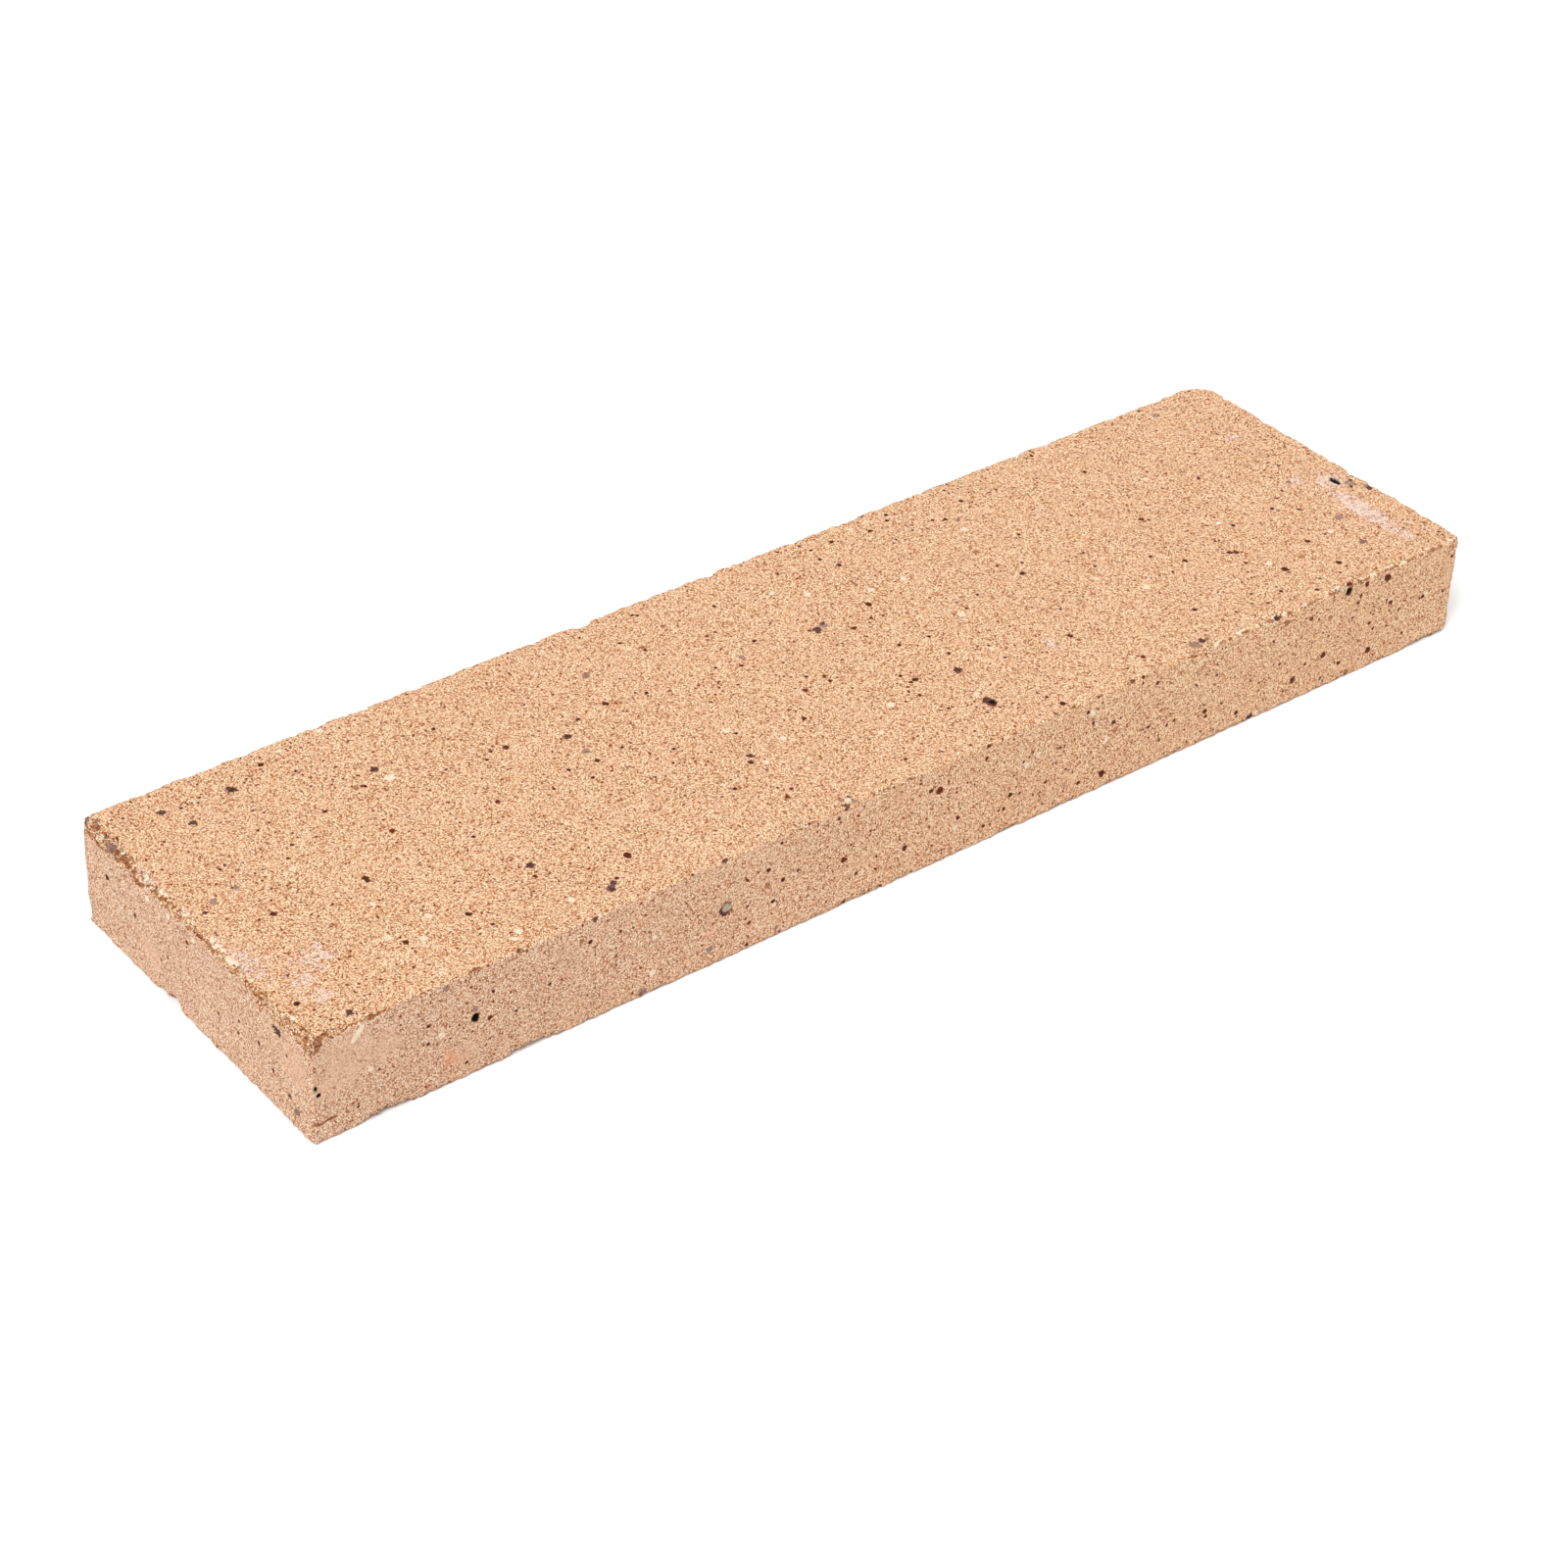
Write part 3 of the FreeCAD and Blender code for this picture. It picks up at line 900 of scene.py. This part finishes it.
def paintMarks(tree, patterns, ragged, colour):
    # Each mark has an uneven rim and is blotched inside
    blotch = addNode(tree, "Mix", {0: 0.4, 2: patterns["grit"]["Red"], 3: patterns["sand"]["Red"]})
    for name, (soft, uneven, darkest, palest, cover) in fireclay["marks"].items():
        painted = addNode(tree, "Attribute", attribute_name=name).outputs["Fac"]
        edge = addNode(tree, "Math", {0: ragged, 1: uneven, 2: painted}, operation="MULTIPLY_ADD")
        mask = addNode(
            tree, "MapRange",
            {"Value": edge, "From Min": 0.5 - soft, "From Max": 0.5 + soft, "To Max": cover},
            interpolation_type="SMOOTHSTEP",
        )
        hue = addNode(tree, "Mix", {0: blotch, 6: hexColour(darkest), 7: hexColour(palest)}, data_type="RGBA")
        colour = addNode(tree, "Mix", {0: mask, 6: colour, 7: hue}, data_type="RGBA")
    return colour


def coverWithBloom(tree, patterns, shade, colour):
    # Bloom takes some grains and leaves others
    bloom = addNode(tree, "Attribute", attribute_name="bloom").outputs["Fac"]
    for name, (output, share) in fireclay["bloomFollows"].items():
        followed = patterns[name][output]
        bloom = addNode(tree, "Math", {0: followed, 1: share, 2: bloom}, operation="MULTIPLY_ADD")
    bloom = addNode(
        tree, "Math", {0: shade, 1: fireclay["bloomOnShade"], 2: bloom}, operation="MULTIPLY_ADD"
    )
    start, full, cover = fireclay["bloomRim"]
    bloom = addNode(
        tree, "MapRange", {"Value": bloom, "From Min": start, "From Max": full, "To Max": cover},
        interpolation_type="SMOOTHSTEP",
    )
    return addNode(tree, "Mix", {0: bloom, 6: colour, 7: hexColour(fireclay["bloom"])}, data_type="RGBA")


# Painted shade: the mouths of the voids are darkened to near black
def paintVoidShade(tree, colour):
    start, full = fireclay["voidShadeRim"]
    voidShade = addNode(tree, "Attribute", attribute_name="voidShade").outputs["Fac"]
    voidShade = addNode(
        tree, "MapRange", {"Value": voidShade, "From Min": start, "From Max": full}, interpolation_type="SMOOTHSTEP"
    )
    return addNode(tree, "Mix", {0: voidShade, 6: colour, 7: hexColour(fireclay["void"])}, data_type="RGBA")


def firedFireclay():
    # Fireclay pressed with sand and crushed grog, then fired: matt and granular, buff, speckled with iron
    material = bpy.data.materials.new("firedFireclay")
    material.use_nodes = True
    tree = material.node_tree
    tree.nodes.clear()
    patterns = grainPatterns(tree)
    shade = grainShade(tree, patterns)
    ragged = addNode(tree, "Math", {0: patterns["ragged"]["Fac"], 1: 0.5}, operation="SUBTRACT")
    colour = grainColour(tree, shade, ragged)
    colour, height = cutSpots(tree, patterns, colour, shade)
    colour = paintMarks(tree, patterns, ragged, colour)
    colour = coverWithBloom(tree, patterns, shade, colour)
    colour = paintVoidShade(tree, colour)
    bump = addNode(tree, "Bump", {"Strength": 1.0, "Distance": fireclay["bump"] * mm, "Height": height})
    shader = addNode(tree, "BsdfPrincipled", {
        "Base Color": colour, "Roughness": 0.9, "IOR": 1.5, "Specular IOR Level": fireclay["shine"],
        "Normal": bump,
    })
    addNode(tree, "OutputMaterial", {"Surface": shader})
    return material


brickBody.data.materials.append(firedFireclay())
print("fireclay made")


# Floor, light and camera

studio = {
    "floorHalf": 6,          # metres
    "floor": (0.75, 0.75, 0.75, 1),           # as the light sees it, so that it throws little back
    "floorToCamera": (1, 1, 1, 1),
    "sky": 0.695,
    "skyToCamera": 1.0,
    "key": 2.3,
    "keyFrom": Vector((-0.55, -0.325, 0.77)),
    "keySpread": 30,         # degrees
}


def paleFloor():
    # Reads white to the camera and keeps the shadow
    material = bpy.data.materials.new("paleFloor")
    material.use_nodes = True
    tree = material.node_tree
    tree.nodes.clear()
    path = addNode(tree, "LightPath")
    colour = addNode(
        tree, "Mix", {0: path.outputs["Is Camera Ray"], 6: studio["floor"], 7: studio["floorToCamera"]},
        data_type="RGBA",
    )
    shader = addNode(tree, "BsdfDiffuse", {"Color": colour})
    addNode(tree, "OutputMaterial", {"Surface": shader})
    return material


def layFloor():
    mesh = bpy.data.meshes.new("floor")
    bm = bmesh.new()
    bmesh.ops.create_grid(bm, x_segments=1, y_segments=1, size=studio["floorHalf"])
    bm.to_mesh(mesh)
    bm.free()
    mesh.materials.append(paleFloor())
    floor = bpy.data.objects.new("floor", mesh)
    bpy.context.collection.objects.link(floor)
    return floor


def lightStudio():
    world = bpy.data.worlds.new("studio")
    world.use_nodes = True
    bpy.context.scene.world = world
    sky = world.node_tree
    sky.nodes.clear()
    path = addNode(sky, "LightPath")
    level = addNode(sky, "Mix", {
        0: path.outputs["Is Camera Ray"], 2: studio["sky"], 3: studio["skyToCamera"],
    })
    light = addNode(sky, "Background", {"Color": (1, 1, 1, 1), "Strength": level})
    addNode(sky, "OutputWorld", {"Surface": light})

    sun = bpy.data.lights.new("key", "SUN")
    sun.energy = studio["key"]
    sun.angle = math.radians(studio["keySpread"])
    key = bpy.data.objects.new("key", sun)
    key.rotation_mode = "QUATERNION"
    key.rotation_quaternion = (-studio["keyFrom"]).to_track_quat("-Z", "Y")
    bpy.context.collection.objects.link(key)


floor = layFloor()
lightStudio()
print("floor and light set")

# The photograph's viewpoint
camera = {
    "place": Vector((-309.8, -375.3, 346.1)),
    "lookAt": Vector((-15.1, -11.9, 9.5)),
    "roll": 2.08,            # degrees
    "lens": 84.06,
    "sensor": 36,
}


def setCamera():
    lens = bpy.data.cameras.new("camera")
    lens.lens = camera["lens"]
    lens.sensor_width = camera["sensor"]
    lens.clip_start = 0.01
    eye = bpy.data.objects.new("camera", lens)
    aim = (camera["lookAt"] - camera["place"]).to_track_quat("-Z", "Y").to_matrix()
    turned = aim @ Matrix.Rotation(math.radians(camera["roll"]), 3, "Z")
    eye.matrix_world = Matrix.Translation(camera["place"] * mm) @ turned.to_4x4()
    bpy.context.collection.objects.link(eye)
    return eye


bpy.context.scene.camera = setCamera()
bpy.context.scene.view_settings.view_transform = "Standard"
print("camera set")
